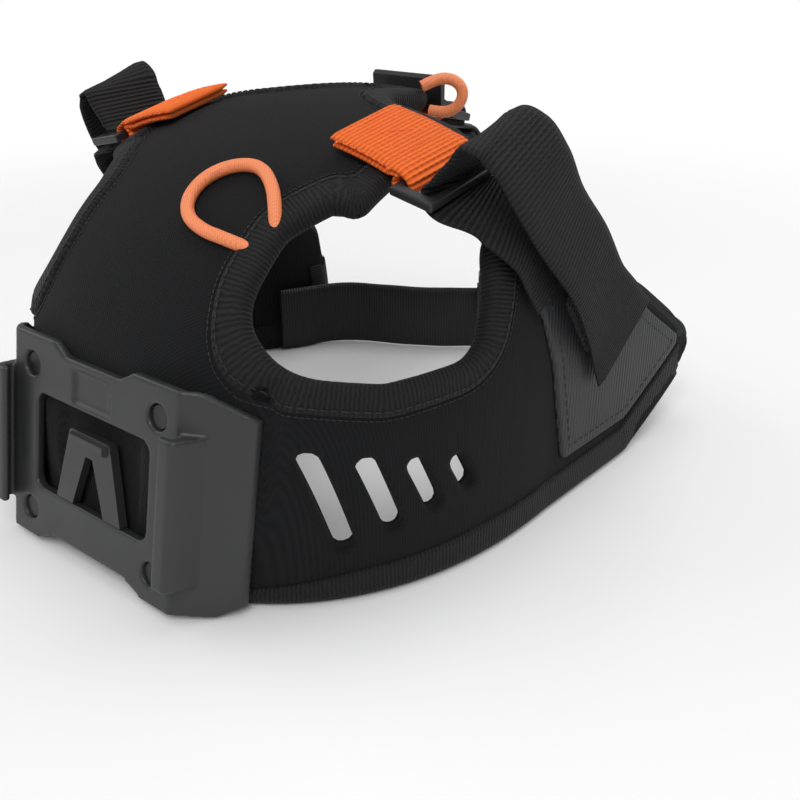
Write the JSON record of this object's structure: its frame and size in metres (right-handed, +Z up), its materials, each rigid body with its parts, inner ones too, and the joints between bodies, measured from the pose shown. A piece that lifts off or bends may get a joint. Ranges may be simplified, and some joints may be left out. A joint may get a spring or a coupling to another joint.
{
  "type": "head torch harness",
  "caption": "Padded head harness with a rigid forehead plate and sliding rails for a clip-on head torch, crown arms, wings and adjustable straps.",
  "frame": {"origin": "centre of the footprint on the surface the harness stands on, under the wearer's crown", "axes": "+Z up through the crown, -Y out of the forehead plate, +X to the wearer's left"},
  "size_m": [0.1786, 0.2096, 0.1162],
  "materials": {
    "knit": "fine ribbed knit over neoprene foam",
    "lining": "smooth jersey lining",
    "binding": "ribbed elastic binding tape",
    "plate_plastic": "satin moulded plastic",
    "rivet": "dark blackened steel",
    "backing": "plain plastic strip",
    "pad_foam": "soft brushed foam cover",
    "orange_webbing": "coarse plain weave",
    "black_plastic": "fine textured moulded plastic",
    "strap_webbing": "coarse ribbed webbing",
    "patch": "matt coated fabric with a stitched border",
    "hook": "hook fastener tape",
    "elastic": "satin woven elastic",
    "orange_cord": "braided elastic cord"
  },
  "bodies": {
    "harness": {"crown_shell": "knit", "lining": "lining", "opening_binding_left": "binding", "opening_binding_right": "binding", "rear_arm_binding": "binding", "hem_binding": "binding", "mounting_plate": "plate_plastic", "plate_rivets": "rivet", "backing_plate": "backing", "forehead_pad": "pad_foam", "crown_tab_left": "orange_webbing", "crown_tab_right": "orange_webbing", "side_strap_left": "strap_webbing", "side_strap_right": "strap_webbing", "wing_patch_left": "patch", "wing_patch_right": "patch", "hook_pad_left": "hook", "hook_pad_right": "hook", "rear_tab": "orange_webbing", "nape_strap": "elastic", "nape_clip": "black_plastic", "rear_strap": "elastic", "front_cord_loop": "orange_cord", "rear_cord_loop": "orange_cord"},
    "latch": {"latch_tongue": "plate_plastic"},
    "loop_left": {"strap_loop_left": "black_plastic"},
    "loop_right": {"strap_loop_right": "black_plastic"},
    "rear_buckle": {"rear_buckle": "black_plastic"}
  },
  "joints": [
    {"name": "latch_press", "type": "hinge", "parent": "harness", "child": "latch", "pos_m": [0, -0.09661, 0.01772], "axis": [1, 0, 0], "range_deg": [-4, 0], "stiffness_Nm_per_rad": 0.5},
    {"name": "loop_left_swing", "type": "hinge", "parent": "harness", "child": "loop_left", "pos_m": [0.05368, -0.02166, 0.10049], "axis": [0.0698, 0.9789, 0.1919], "range_deg": [-4, 4]},
    {"name": "loop_right_swing", "type": "hinge", "parent": "harness", "child": "loop_right", "pos_m": [-0.05368, -0.02166, 0.10049], "axis": [-0.0698, 0.9789, 0.1919], "range_deg": [-4, 4]},
    {"name": "rear_buckle_swing", "type": "hinge", "parent": "harness", "child": "rear_buckle", "pos_m": [0, 0.042, 0.10214], "axis": [1, 0, 0], "range_deg": [-4, 4]}
  ]
}
